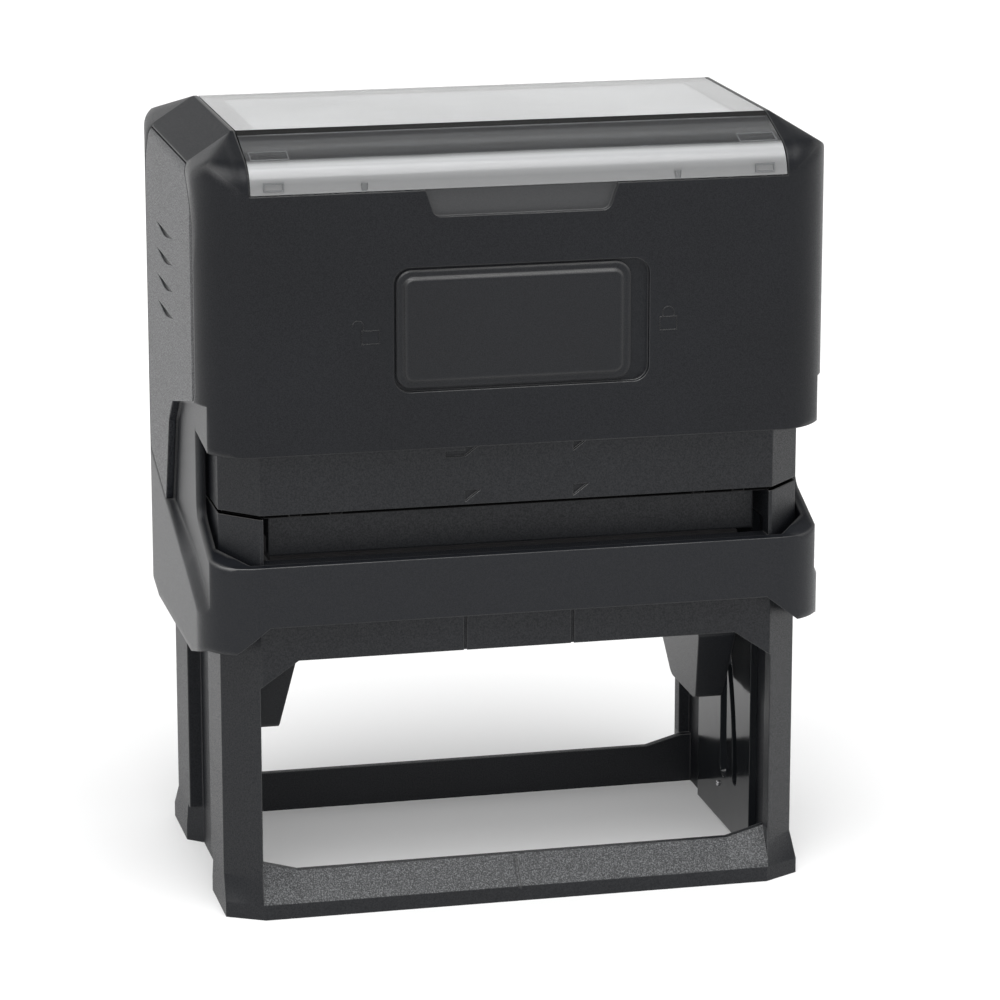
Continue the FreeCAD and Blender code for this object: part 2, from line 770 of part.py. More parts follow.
def panel_outline(inset):
    """The side panel's outline: wide above, stepping back to a narrow tail that ends on a slant."""
    return [
        (f"-panel_edge + {inset}", f"cap_brow - panel_drop - {inset}", "cap_round"),
        (f"-panel_edge + {inset}", f"panel_low + {inset}", "lock_round"),
        (f"-panel_step + {inset}", f"panel_step_low + {inset}", "lock_bevel"),
        (f"panel_waist + {inset}", f"panel_waist_low + {inset}", "lock_round"),
        (f"panel_tail + {inset}", f"panel_tail_low + {inset}"),
        (f"panel_back - {inset}", f"panel_back_low + {inset}"),
        (f"panel_back - {inset}", f"cap_brow - panel_drop - {inset}", "cap_round"),
        (f"cap_ridge - {inset}", f"cap_shoulder - {inset}"),
        (f"-cap_ridge + {inset}", f"cap_shoulder - {inset}"),
    ]


def arm_outline(slope):
    """The recess beside the front window, with its lower edges moved out by a slope."""
    return [
        ("-cap_deep - over", "panel_low"),
        ("-panel_edge", "panel_low"),
        ("-panel_step", "panel_step_low"),
        ("panel_waist", "panel_waist_low"),
        ("panel_tail", "panel_tail_low"),
        (f"-arm_low_at + {slope} / 2", f"arm_low - {slope}"),
        ("-wing_front", f"arm_front_low - {slope}"),
        ("-cap_deep - over", f"arm_front_low - {slope}"),
    ]


def relieve_arm(body, side):
    """Set the arm back beside the front window, below the side panel, with a slope at its lower edge."""
    face = (f"{side} * cap_half", arm_outline("arm_slope"))
    floor = (f"{side} * side_in", arm_outline("0"))
    loft(body, "Subtractive", "YZ_Plane", face, floor)


def build_side_panel(side, label):
    """A grained grip panel let into the cap's side, with four curved grip grooves."""
    body = new_body(label)
    low, high = span(side, "cap_half - panel_thick", "cap_half")
    prism(body, "Pad", "YZ_Plane", low, high, panel_outline("panel_gap"))
    round_shoulder(body, side)
    corner = [
        (f"{side} * cap_half", "-cap_deep + cap_round"),
        (f"{side} * (cap_half - panel_bevel)", "-panel_edge"),
        (f"{side} * (cap_half + over)", "-panel_edge"),
        (f"{side} * (cap_half + over)", "-cap_deep + cap_round"),
    ]
    prism(body, "Pocket", "XY_Plane", "panel_tail_low", "cap_shoulder", corner)
    low, high = span(side, "cap_half - grip_cut", "cap_half + over")
    for row in range(4):
        level = f"grip_first - {row} * grip_pitch"
        lens = [
            ("grip_at - grip_half", level),
            ("grip_at", f"{level} - grip_bow", "grip_round"),
            ("grip_at + grip_half", level),
        ]
        prism(body, "Pocket", "YZ_Plane", low, high, lens)
    return body


def build_yoke(side, label):
    """A leg from the cap's roof down the frame's side channel, with an eye for the axle."""
    body = new_body(label)
    low, high = span(side, "yoke_in", "yoke_out")
    leg = [
        ("-yoke_half", "cap_roof"),
        ("-yoke_half", "yoke_low + yoke_cut"),
        ("-yoke_half + yoke_cut", "yoke_low"),
        ("yoke_half - yoke_cut", "yoke_low"),
        ("yoke_half", "yoke_low + yoke_cut"),
        ("yoke_half", "cap_roof"),
    ]
    prism(body, "Pad", "YZ_Plane", low, high, leg)
    disc(body, "Pocket", "YZ_Plane", low, high, ("0", "axle_high"), "pin_radius + pin_play")
    return body


def build_card_tray():
    """The shallow tray that carries the index card under the clear cover."""
    body = new_body("card_tray")
    outer = box(both("well_half - seat_gap"), both("well_deep - seat_gap"))
    prism(body, "Pad", "XY_Plane", "well_low", "card_low + card_thick", outer)
    floor = box(both("card_half + card_play"), both("card_deep + card_play"))
    prism(body, "Pocket", "XY_Plane", "card_low", "card_low + card_thick", floor)
    return body


def build_index_card():
    """The paper card that shows the stamp's print."""
    body = new_body("index_card")
    sheet_outline = box(both("card_half"), both("card_deep"))
    prism(body, "Pad", "XY_Plane", "card_low", "card_low + card_thick", sheet_outline)
    return body


def build_clear_cover():
    """The clear cover, curved down over the front and back edges."""
    body = new_body("clear_cover")
    inner_deep = "(cap_deep - cover_wall)"
    outline = [
        ("-cap_deep", "cover_low"),
        (f"-{inner_deep}", "cover_low"),
        (f"-{inner_deep}", "cap_brow - cover_wall + seat_gap"),
        ("-cap_ridge", "cap_top - cover_wall"),
        ("cap_ridge", "cap_top - cover_wall"),
        (inner_deep, "cap_brow - cover_wall + seat_gap"),
        (inner_deep, "cover_low"),
        ("cap_deep", "cover_low"),
        ("cap_deep", "cap_brow", "cover_wall"),
        ("cap_ridge", "cap_top"),
        ("-cap_ridge", "cap_top"),
        ("-cap_deep", "cap_brow", "cover_wall"),
    ]
    prism(body, "Pad", "YZ_Plane", *both("cover_half"), outline)
    for side in (-1, 1):
        round_brow(body, side, both("cover_half + over"))
    return body


def build_lock_button():
    """The lock's slider with a bevelled face and two studs through the cap's wall."""
    body = new_body("lock_button")
    left = "-lock_recess_half + lock_gap"
    right = f"{left} + lock_wide"
    rim = box((left, right), ("lock_low + lock_gap", "lock_high - lock_gap"), "lock_round")
    back = "-cap_deep + lock_depth - lock_float"
    prism(body, "Pad", "XZ_Plane", "-cap_deep + lock_depth - lock_rim", back, rim)
    across = (f"{left} + lock_bevel", f"{right} - lock_bevel")
    up = ("lock_low + lock_gap + lock_bevel", "lock_high - lock_gap - lock_bevel")
    crown = box(across, up, "lock_bevel")
    prism(body, "Pad", "XZ_Plane", "-cap_deep - lock_proud", "-cap_deep + lock_depth - lock_rim", crown)
    for end in (-1, 1):
        centre = (f"{end} * stud_at", "lock_mid")
        disc(body, "Pad", "XZ_Plane", back, "-cap_in_deep - catch_recess + catch_gap", centre, "stud_radius")
    return body


def build_lock_catch():
    """The plate behind the wall that keeps the lock button in."""
    body = new_body("lock_catch")
    plate = box(both("catch_half"), ("catch_low", "catch_high"), "lock_bevel")
    face = "-cap_in_deep - catch_recess + catch_gap"
    prism(body, "Pad", "XZ_Plane", face, f"{face} + catch_thick", plate)
    return body


def build_plate_holder():
    """The turning holder: a ribbed plate between two ears that taper below the axle."""
    body = new_body("plate_holder")
    plate = box(both("holder_half"), both("holder_deep"))
    prism(body, "Pad", "XY_Plane", "axle_high + holder_low", "axle_high + holder_top", plate)
    for row in (-1, 1):
        middle = f"{row} * rib_at"
        across = (f"{middle} - rib_wide / 2", f"{middle} + rib_wide / 2")
        rib = box(across, ("axle_high + rib_low", "axle_high + holder_low"))
        prism(body, "Pad", "YZ_Plane", *both("ear_in"), rib)
    for side in (-1, 1):
        ear = [
            ("-ear_top_half", "axle_high + holder_low"),
            ("-ear_top_half", "axle_high - ear_knee"),
            ("-ear_tip_half", "axle_high - ear_tip", "ear_round"),
            ("ear_tip_half", "axle_high - ear_tip", "ear_round"),
            ("ear_top_half", "axle_high - ear_knee"),
            ("ear_top_half", "axle_high + holder_low"),
        ]
        prism(body, "Pad", "YZ_Plane", *span(side, "ear_in - ear_slope", "ear_out"), ear)
        slope = [
            (f"{side} * ear_in", "axle_high - ear_tip"),
            (f"{side} * (ear_in - ear_slope)", "axle_high"),
            (f"{side} * (ear_in - ear_slope - over)", "axle_high"),
            (f"{side} * (ear_in - ear_slope - over)", "axle_high - ear_tip - over"),
            (f"{side} * ear_in", "axle_high - ear_tip - over"),
        ]
        prism(body, "Pocket", "XZ_Plane", *both("ear_top_half + over"), slope)
        deep = span(side, "pin_in", "ear_out")
        disc(body, "Pocket", "YZ_Plane", *deep, ("0", "axle_high"), "pin_radius")
        disc(body, "Pocket", "YZ_Plane", *deep, ("crank", "axle_high"), "follower_radius")
    return body


def build_foam_layer():
    """The springy layer between holder and text plate."""
    body = new_body("foam_layer")
    layer = box(both("foam_half"), both("foam_deep"))
    prism(body, "Pad", "XY_Plane", "axle_high + holder_top", "axle_high + foam_top", layer)
    return body


def build_text_plate():
    """The rubber plate with a raised border and plain bars of different lengths in place of lettering."""
    body = new_body("text_plate")
    sheet_outline = box(both("text_half"), both("text_deep"))
    prism(body, "Pad", "XY_Plane", "axle_high + foam_top", "axle_high + text_base", sheet_outline)
    levels = ("axle_high + text_base", "axle_high + text_top")
    border = box(both("text_half - text_margin"), both("text_deep - text_margin"))
    prism(body, "Pad", "XY_Plane", *levels, border)
    inner = box(both("text_half - text_margin - text_line"), both("text_deep - text_margin - text_line"))
    prism(body, "Pocket", "XY_Plane", *levels, inner)
    for row, share in enumerate((0.5, 0.8, 0.75, 0.6, 0.85)):
        middle = f"text_first - {row} * text_pitch"
        along = both(f"{share} * (text_half - text_inset)")
        bar = box(along, (f"{middle} - text_line", f"{middle} + text_line"))
        prism(body, "Pad", "XY_Plane", *levels, bar)
    return body


def build_pin(side, label, centre, radius, outer):
    """A steel pin pressed into one of the holder's ears."""
    body = new_body(label)
    disc(body, "Pad", "YZ_Plane", *span(side, "pin_in", outer), centre, radius)
    return body


def build_all():
    build_base_frame()
    build_upper_frame()
    build_pad_cartridge()
    build_ink_pad()
    build_cap_shell()
    build_card_tray()
    build_index_card()
    build_clear_cover()
    build_lock_button()
    build_lock_catch()
    build_plate_holder()
    build_foam_layer()
    build_text_plate()
    for side, name in ((-1, "left"), (1, "right")):
        build_cam_plate(side, f"cam_plate_{name}")
        build_return_spring(side, f"return_spring_{name}")
        build_side_panel(side, f"side_panel_{name}")
        build_yoke(side, f"yoke_{name}")
        build_pin(side, f"pivot_pin_{name}", ("0", "axle_high"), "pin_radius", "pin_out")
        build_pin(side, f"cam_follower_{name}", ("crank", "axle_high"), "follower_radius", "follower_out")


def check_and_write():
    """Stop on any failed object or bad shape, then write one file per sub-part."""
    doc.recompute()
    for item in doc.Objects:
        if {"Invalid", "Error"} & set(item.State):
            raise RuntimeError(f"{item.Label} is {item.State}")
    for node in nodes:
        shape = node.Shape
        if shape.isNull() or not shape.isValid() or len(shape.Solids) != 1:
            raise RuntimeError(f"{node.Label} has a bad shape with {len(shape.Solids)} solids")
    os.makedirs("parts", exist_ok=True)
    for node in nodes:
        node.Shape.exportStep(f"parts/{node.Label}.step")
        room = node.Shape.BoundBox
        print(f"{node.Label}: {node.Shape.Volume:.0f} mm3, x {room.XMin:.1f} {room.XMax:.1f},",
              f"y {room.YMin:.1f} {room.YMax:.1f}, z {room.ZMin:.1f} {room.ZMax:.1f}")


build_all()
check_and_write()
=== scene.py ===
import math

import bmesh
import bpy
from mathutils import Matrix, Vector


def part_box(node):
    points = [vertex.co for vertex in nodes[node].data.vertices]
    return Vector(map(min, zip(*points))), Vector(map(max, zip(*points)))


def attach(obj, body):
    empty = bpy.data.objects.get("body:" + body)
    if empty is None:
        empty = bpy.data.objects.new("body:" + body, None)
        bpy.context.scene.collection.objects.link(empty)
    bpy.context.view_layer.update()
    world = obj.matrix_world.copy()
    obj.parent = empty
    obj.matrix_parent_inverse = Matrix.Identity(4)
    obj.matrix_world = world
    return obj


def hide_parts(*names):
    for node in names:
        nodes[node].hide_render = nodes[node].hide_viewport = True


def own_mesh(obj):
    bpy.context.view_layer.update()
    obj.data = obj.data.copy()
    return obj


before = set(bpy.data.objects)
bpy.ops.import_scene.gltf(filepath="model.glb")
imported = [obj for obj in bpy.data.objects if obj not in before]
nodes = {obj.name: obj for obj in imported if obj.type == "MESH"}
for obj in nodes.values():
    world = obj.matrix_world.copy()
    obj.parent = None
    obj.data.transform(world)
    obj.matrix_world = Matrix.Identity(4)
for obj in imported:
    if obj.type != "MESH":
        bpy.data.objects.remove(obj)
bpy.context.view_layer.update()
MM = 0.001

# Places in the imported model, in metres, that the masks and the small pieces are set to.
SEAM_LEVELS = (62.25 * MM, 63.05 * MM)
FOOT_SLOPE_LEVELS = (2.3 * MM, 8.3 * MM)
FOOT_SLOPE_DEPTHS = (24.4 * MM, 28.0 * MM)
FOOT_SLOPE_END = 39.7 * MM
NOTCH_LEVELS = (107.0 * MM, 111.3 * MM)
NOTCH_DEPTHS = (27.0 * MM, 29.1 * MM)
NOTCH_END = 14.7 * MM
CAP_SLOPE_LEVELS = (113.6 * MM, 119.5 * MM)
CAP_SLOPE_START = 41.0 * MM
CAP_SLOPE_DEPTH = 17.2 * MM
CAP_CORNER_LEVELS = (100 * MM, 110 * MM)
CAP_CORNER_DEPTHS = (16 * MM, 20 * MM)
CAP_CORNER_SIDES = (41.2 * MM, 42.5 * MM)
ARM_LEVELS = (76 * MM, 80 * MM)
ARM_SIDES = (43 * MM, 44 * MM)
COLLAR_LEVELS = (62 * MM, 66 * MM)
COLLAR_DEPTHS = (24 * MM, 26 * MM)
LOCK_LEVELS = (80 * MM, 100 * MM)
LIP_LEVELS = (112.7 * MM, 115.1 * MM)
LIP_DEPTHS = (25.6 * MM, 27.0 * MM)
BAND_START = (19.6 * MM, 20.4 * MM)
BAND_END = (22.6 * MM, 23.8 * MM)
MARK_LEVEL = 89.6 * MM
OPEN_MARK_AT = -22.9 * MM
CLOSED_MARK_AT = 22.3 * MM
CLIP_AT = 36.9 * MM
RIB_AT = 23.6 * MM
STUD_PLACE = Vector((40.2, 2.4, 6.3)) * MM

# Radii that the edges are rounded by, in shading only.
EDGE_RADIUS = 0.35 * MM
GLOSSY_EDGE_RADIUS = 0.2 * MM
CAP_EDGE_RADIUS = 0.4 * MM
CAP_CORNER_RADIUS = 3.6 * MM
ARM_RADIUS = 1.1 * MM
LOCK_RADII = (0.9 * MM, 1.0 * MM)

# The return springs' wire and turns, and how finely they are drawn.
COIL_WIRE = 0.9 * MM
COIL_TURNS = 9
COIL_STEPS = 36
COIL_SIDES = 10

# The photograph's view, as fitted to it: turned to the left of the front and a little from above.
CAMERA_YAW = math.radians(13.15)
CAMERA_PITCH = math.radians(14.37)
CAMERA_DISTANCE = 0.674
CAMERA_AIM = Vector((3.4, 0, 56.2)) * MM
SENSOR_WIDTH = 36.0
LENS = 155.33

ACROSS = Vector((1, 0, 0))
UP = Vector((0, 0, 1))

# ---- shader building blocks ----------------------------------------------------------------------


def new_material(name):
    """A material with its shader, and nothing else in its node tree yet."""
    material = bpy.data.materials.new(name)
    material.use_nodes = True
    tree = material.node_tree
    tree.nodes.clear()
    out = tree.nodes.new("ShaderNodeOutputMaterial")
    shader = tree.nodes.new("ShaderNodeBsdfPrincipled")
    tree.links.new(shader.outputs["BSDF"], out.inputs["Surface"])
    return material, tree, shader


def place(tree):
    """Object coordinates, in metres, so that a grain keeps its real size on every piece."""
    return tree.nodes.new("ShaderNodeTexCoord").outputs["Object"]


def along_axis(tree, where, axis):
    """The X, Y or Z coordinate of a place."""
    node = tree.nodes.new("ShaderNodeSeparateXYZ")
    tree.links.new(where, node.inputs["Vector"])
    return node.outputs[axis]


def noise(tree, where, scale, detail=2.0, roughness=0.5):
    """Noise from 0 to 1. The scale is in features per metre."""
    node = tree.nodes.new("ShaderNodeTexNoise")
    node.inputs["Scale"].default_value = scale
    node.inputs["Detail"].default_value = detail
    node.inputs["Roughness"].default_value = roughness
    tree.links.new(where, node.inputs["Vector"])
    return node.outputs["Fac"]


def cells(tree, where, scale):
    """Round cells: the distance from the middle of the nearest one."""
    node = tree.nodes.new("ShaderNodeTexVoronoi")
    node.inputs["Scale"].default_value = scale
    tree.links.new(where, node.inputs["Vector"])
    return node.outputs["Distance"]


def ramp(tree, value, low, high, low_out, high_out):
    """A value mapped from one range to another, held inside it."""
    node = tree.nodes.new("ShaderNodeMapRange")
    for name, number in zip(("From Min", "From Max", "To Min", "To Max"), (low, high, low_out, high_out)):
        node.inputs[name].default_value = number
    tree.links.new(value, node.inputs["Value"])
    return node.outputs["Result"]


def calculate(tree, operation, first, second=0.0):
    """What a Math node makes of two values, each a number or a socket."""
    node = tree.nodes.new("ShaderNodeMath")
    node.operation = operation
    for socket, value in zip(node.inputs, (first, second)):
        if isinstance(value, bpy.types.NodeSocket):
            tree.links.new(value, socket)
        else:
            socket.default_value = value
    return node.outputs["Value"]


def times(tree, *values):
    """The product of two or more values."""
    product = values[0]
    for value in values[1:]:
        product = calculate(tree, "MULTIPLY", product, value)
    return product


def mix_colours(tree, factor, first, second):
    """The first colour faded into the second, each a plain colour or a socket."""
    node = tree.nodes.new("ShaderNodeMix")
    node.data_type = "RGBA"
    colours = [socket for socket in node.inputs if socket.type == "RGBA"]
    for socket, colour in zip(colours, (first, second)):
        if isinstance(colour, bpy.types.NodeSocket):
            tree.links.new(colour, socket)
        else:
            socket.default_value = (*colour, 1)
    tree.links.new(factor, node.inputs["Factor"])
    return next(socket for socket in node.outputs if socket.type == "RGBA")


def shade(colour, share):
    """A colour made darker or lighter."""
    return tuple(min(1.0, channel * share) for channel in colour)


def eased_edges(tree, radius):
    """Normals rounded over edges by a radius, and how far they turn there: 0 on flats, 1 on edges."""
    rounded = tree.nodes.new("ShaderNodeBevel")
    rounded.samples = 8
    if isinstance(radius, bpy.types.NodeSocket):
        tree.links.new(radius, rounded.inputs["Radius"])
    else:
        rounded.inputs["Radius"].default_value = radius
    geometry = tree.nodes.new("ShaderNodeNewGeometry")
    turn = tree.nodes.new("ShaderNodeVectorMath")
    turn.operation = "DOT_PRODUCT"
    tree.links.new(rounded.outputs["Normal"], turn.inputs[0])
    tree.links.new(geometry.outputs["Normal"], turn.inputs[1])
    return rounded.outputs["Normal"], ramp(tree, turn.outputs["Value"], 0.97, 0.8, 0, 1)


def bump(tree, shader, height, distance, normal=None):
    """Fine relief on a shader, on top of rounded normals where they are given."""
    node = tree.nodes.new("ShaderNodeBump")
    if isinstance(distance, bpy.types.NodeSocket):
        tree.links.new(distance, node.inputs["Distance"])
    else:
        node.inputs["Distance"].default_value = distance
    tree.links.new(height, node.inputs["Height"])
    if normal:
        tree.links.new(normal, node.inputs["Normal"])
    tree.links.new(node.outputs["Normal"], shader.inputs["Normal"])


# ---- materials -----------------------------------------------------------------------------------

CHARCOAL = (0.0062, 0.007, 0.009)
# Painted shadow: the near-black colour of the gap between the base's mouldings.
PAINTED_GAP_SHADOW = (0.0005, 0.0005, 0.0006)
NOTCH_GREY = (0.045, 0.046, 0.048)
# Painted glints: the bright grey of the specks on the foot's slopes, and their size.
PAINTED_GLINT_GREY = (0.135, 0.14, 0.145)
GLINT_SIZE = 0.21 * MM
# Edges painted lighter: as wear, and as a painted highlight on edges that face up.
WORN_AND_HIGHLIGHT_TONE = 0.1


def moulded(name, colour, grain, depth, rough, speck, gloss, rounding=EDGE_RADIUS, coarse_grain_and_glints=None, tints_and_painted_light=None):
    """Moulded plastic with a spark-eroded grain, slight tone changes, and edges that are lighter as wear
    and, where they face up, as a painted highlight. rounding is the radius of its edges, or makes one that
    changes from place to place. sparks makes a mask of the places with a coarse grain and painted glints,
    bright specks in the colour, and tints makes masks of other places, each with its colour and share of
    gloss; some of these colours are painted shade or light."""
    material, tree, shader = new_material(name)
    where = place(tree)
    normal, edge = eased_edges(tree, rounding(tree, where) if callable(rounding) else rounding)
    fine = noise(tree, where, 1 / grain, 3.0, 0.7)
    broad = noise(tree, where, 45.0, 2.0)
    tone = calculate(tree, "ADD", times(tree, fine, 0.7), times(tree, broad, 0.3))
    tone = ramp(tree, tone, 0.38, 0.62, 0, 1)
    base = mix_colours(tree, tone, shade(colour, 1 - speck), shade(colour, 1 + speck))
    shine = ramp(tree, fine, 0.38, 0.62, gloss * (1 - speck), gloss * (1 + speck))
    distance = depth
    if coarse_grain_and_glints:
        mask = coarse_grain_and_glints(tree, where)
        # Painted glints: bright specks mixed into the colour where the mask is; the coarse grain itself is
        # the deeper bump.
        points = ramp(tree, noise(tree, where, 1 / GLINT_SIZE, 2.0, 0.6), 0.45, 0.7, 0, 1)
        base = mix_colours(tree, times(tree, mask, points), base, PAINTED_GLINT_GREY)
        shine = calculate(tree, "ADD", shine, times(tree, mask, 0.3))
        distance = ramp(tree, mask, 0, 1, depth, depth * 3)
    if tints_and_painted_light:
        for mask, tint, share in tints_and_painted_light(tree, where):
            base = mix_colours(tree, mask, base, tint)
            shine = times(tree, shine, ramp(tree, mask, 0, 1, 1, share))
    # Edges lighter as wear, and more so where they face up: a painted highlight from the light above.
    highlight_facing_up = ramp(tree, along_axis(tree, normal, "Z"), 0.15, 0.65, 0.3, 1.0)
    wear_and_highlight = times(tree, edge, ramp(tree, broad, 0.35, 0.7, 0.5, 1.0), highlight_facing_up)
    base = mix_colours(tree, wear_and_highlight, base, tuple(max(1.3 * channel, WORN_AND_HIGHLIGHT_TONE) for channel in colour))
    tree.links.new(base, shader.inputs["Base Color"])
    shine = calculate(tree, "ADD", shine, times(tree, wear_and_highlight, 0.5))
    tree.links.new(shine, shader.inputs["Specular IOR Level"])
    low_rough, high_rough = rough
    tree.links.new(ramp(tree, fine, 0.38, 0.62, high_rough, low_rough), shader.inputs["Roughness"])
    bump(tree, shader, fine, distance, normal)
    return material


def inside(tree, value, levels, soft=0.1 * MM):
    """1 where a value lies between two levels, 0 outside them."""
    low, high = levels
    rise = ramp(tree, value, low, low + soft, 0, 1)
    return times(tree, rise, ramp(tree, value, high - soft, high, 1, 0))


def three_axes(tree, where):
    """How far out to the side and to the front or back a place lies, and how high."""
    out = calculate(tree, "ABSOLUTE", along_axis(tree, where, "X"))
    deep = calculate(tree, "ABSOLUTE", along_axis(tree, where, "Y"))
    return out, deep, along_axis(tree, where, "Z")


def slopes_of_foot(tree, where):
    """The sloping tops of the foot bars, whose grain is coarse, with painted glints: bright specks in the
    colour.
    """
    out, deep, height = three_axes(tree, where)
    level = inside(tree, height, FOOT_SLOPE_LEVELS)
    between = inside(tree, out, (-MM, FOOT_SLOPE_END))
    return times(tree, level, between, inside(tree, deep, FOOT_SLOPE_DEPTHS))


def frame_painted_gap_shadow(tree, where):
    """Painted shadow: the gap between the base's two mouldings is painted near black, with almost no gloss.
    """
    return [(inside(tree, along_axis(tree, where, "Z"), SEAM_LEVELS), PAINTED_GAP_SHADOW, 0.05)]


def cap_rounding(tree, where):
    """Edges are slight on the cap's faces, broad at its upper corners and soft along its arms."""
    out, deep, height = three_axes(tree, where)
    corner = times(
        tree,
        ramp(tree, height, *CAP_CORNER_LEVELS, 0, CAP_CORNER_RADIUS),
        ramp(tree, deep, *CAP_CORNER_DEPTHS, 0, 1),
        ramp(tree, out, *CAP_CORNER_SIDES, 0, 1),
    )
    low = ramp(tree, height, *ARM_LEVELS, ARM_RADIUS, 0)
    arm = times(tree, low, ramp(tree, out, *ARM_SIDES, 0, 1))
    return calculate(tree, "ADD", calculate(tree, "ADD", corner, arm), CAP_EDGE_RADIUS)


def cap_tints_and_painted_light(tree, where):
    """The notches that a finger lifts the cover by, the dull slopes at the top's ends, and painted light on
    the collars: the cap is painted lighter low down at its front and back.
    """
    out, deep, height = three_axes(tree, where)
    level = inside(tree, height, NOTCH_LEVELS)
    notch = times(tree, level, inside(tree, out, (-MM, NOTCH_END)), inside(tree, deep, NOTCH_DEPTHS))
    level = inside(tree, height, CAP_SLOPE_LEVELS)
    past = ramp(tree, out, CAP_SLOPE_START, CAP_SLOPE_START + 0.2 * MM, 0, 1)
    slope = times(tree, level, inside(tree, deep, (-MM, CAP_SLOPE_DEPTH)), past)
    # Painted light: the cap's colour made lighter low down at its front and back.
    collar_painted_light = times(tree, ramp(tree, height, *COLLAR_LEVELS, 1, 0), ramp(tree, deep, *COLLAR_DEPTHS, 0, 1))
    return [(notch, NOTCH_GREY, 1.3), (slope, CHARCOAL, 0.15), (collar_painted_light, shade(CHARCOAL, 1.25), 1.2)]


def lock_rounding(tree, where):
    """The lock's edges are broad, and a little broader towards its upper end."""
    return ramp(tree, along_axis(tree, where, "Z"), *LOCK_LEVELS, *LOCK_RADII)


def polished(name, colour, rough, gloss=0.5):
    """Smooth glossy plastic with faint flow marks."""
    material, tree, shader = new_material(name)
    where = place(tree)
    normal, edge = eased_edges(tree, GLOSSY_EDGE_RADIUS)
    flow = noise(tree, where, 60.0, 2.0)
    base = mix_colours(tree, ramp(tree, flow, 0.3, 0.7, 0, 1), colour, shade(colour, 1.4))
    base = mix_colours(tree, edge, base, shade(colour, 2.0))
    tree.links.new(base, shader.inputs["Base Color"])
    tree.links.new(ramp(tree, flow, 0.3, 0.7, rough * 0.7, rough * 1.6), shader.inputs["Roughness"])
    shader.inputs["Specular IOR Level"].default_value = gloss
    bump(tree, shader, noise(tree, where, 160.0, 2.0), 0.03 * MM, normal)
    return material


def steel(name, colour, rough):
    """Drawn or ground steel with fine lines along it."""
    material, tree, shader = new_material(name)
    stretch = tree.nodes.new("ShaderNodeMapping")
    stretch.inputs["Scale"].default_value = (300, 4000, 4000)
    tree.links.new(place(tree), stretch.inputs["Vector"])
    lines = noise(tree, stretch.outputs["Vector"], 1.0, 2.0)
    base = mix_colours(tree, ramp(tree, lines, 0.3, 0.7, 0, 1), shade(colour, 0.8), colour)
    tree.links.new(base, shader.inputs["Base Color"])
    tree.links.new(ramp(tree, lines, 0.3, 0.7, rough, rough * 1.6), shader.inputs["Roughness"])
    shader.inputs["Metallic"].default_value = 1.0
    bump(tree, shader, lines, 0.005 * MM)
    return material


def card(name, colour):
    """Uncoated card with fibres and a slight mottle."""
    material, tree, shader = new_material(name)
    where = place(tree)
    fibres = noise(tree, where, 2500.0, 4.0, 0.7)
    mottle = noise(tree, where, 90.0, 3.0)
    tone = calculate(tree, "ADD", times(tree, fibres, 0.5), times(tree, mottle, 0.5))
    base = mix_colours(tree, ramp(tree, tone, 0.35, 0.65, 0, 1), shade(colour, 0.95), colour)
    tree.links.new(base, shader.inputs["Base Color"])
    shader.inputs["Roughness"].default_value = 0.85
    bump(tree, shader, fibres, 0.02 * MM)
    return material


def clear_plastic(name, tint, milk_and_reflection, rough):
    """Clear moulded plastic with a faint milky band on its slopes, and a painted reflection along its curved
    lips: a milky colour that is lighter towards the top.
    """
    material, tree, shader = new_material(name)
    where = place(tree)
    wavy = noise(tree, where, 40.0, 2.0)
    height = along_axis(tree, where, "Z")
    depth = calculate(tree, "ABSOLUTE", along_axis(tree, where, "Y"))
    depth = calculate(tree, "ADD", depth, ramp(tree, wavy, 0.3, 0.7, -0.15 * MM, 0.15 * MM))
    # Painted reflection on the lip: milky, and lighter towards its top, where the light above would be seen
    # in it.
    upper = ramp(tree, height, *LIP_LEVELS, 0, 1)
    lip = times(tree, ramp(tree, depth, *LIP_DEPTHS, 0, 1), ramp(tree, upper, 0, 1, 0.6, 0.84))
    rise = ramp(tree, depth, *BAND_START, 0, 1)
    fall = ramp(tree, depth, *BAND_END, 1, 0)
    haze_and_reflection = calculate(tree, "MAXIMUM", lip, times(tree, rise, fall, 0.07))
    base = mix_colours(tree, haze_and_reflection, tint, mix_colours(tree, upper, shade(milk_and_reflection, 0.11), milk_and_reflection))
    tree.links.new(base, shader.inputs["Base Color"])
    smear = ramp(tree, wavy, 0.35, 0.7, rough * 0.6, rough * 1.5)
    tree.links.new(calculate(tree, "ADD", smear, times(tree, lip, 0.15)), shader.inputs["Roughness"])
    tree.links.new(ramp(tree, haze_and_reflection, 0, 1, 1.0, 0.35), shader.inputs["Transmission Weight"])
    shader.inputs["IOR"].default_value = 1.46
    bump(tree, shader, wavy, 0.02 * MM)
    return material


def felt(name, colour, ink):
    """Inked felt: matted fibres, darker where the ink has soaked in."""
    material, tree, shader = new_material(name)
    where = place(tree)
    fibres = noise(tree, where, 3500.0, 5.0, 0.75)
    soaked = noise(tree, where, 70.0, 3.0)
    base = mix_colours(tree, ramp(tree, soaked, 0.35, 0.65, 0, 1), colour, ink)
    tree.links.new(base, shader.inputs["Base Color"])
    tree.links.new(ramp(tree, soaked, 0.35, 0.65, 0.95, 0.6), shader.inputs["Roughness"])
    shader.inputs["Sheen Weight"].default_value = 0.4
    shader.inputs["Sheen Roughness"].default_value = 0.5
    bump(tree, shader, fibres, 0.12 * MM)
    return material


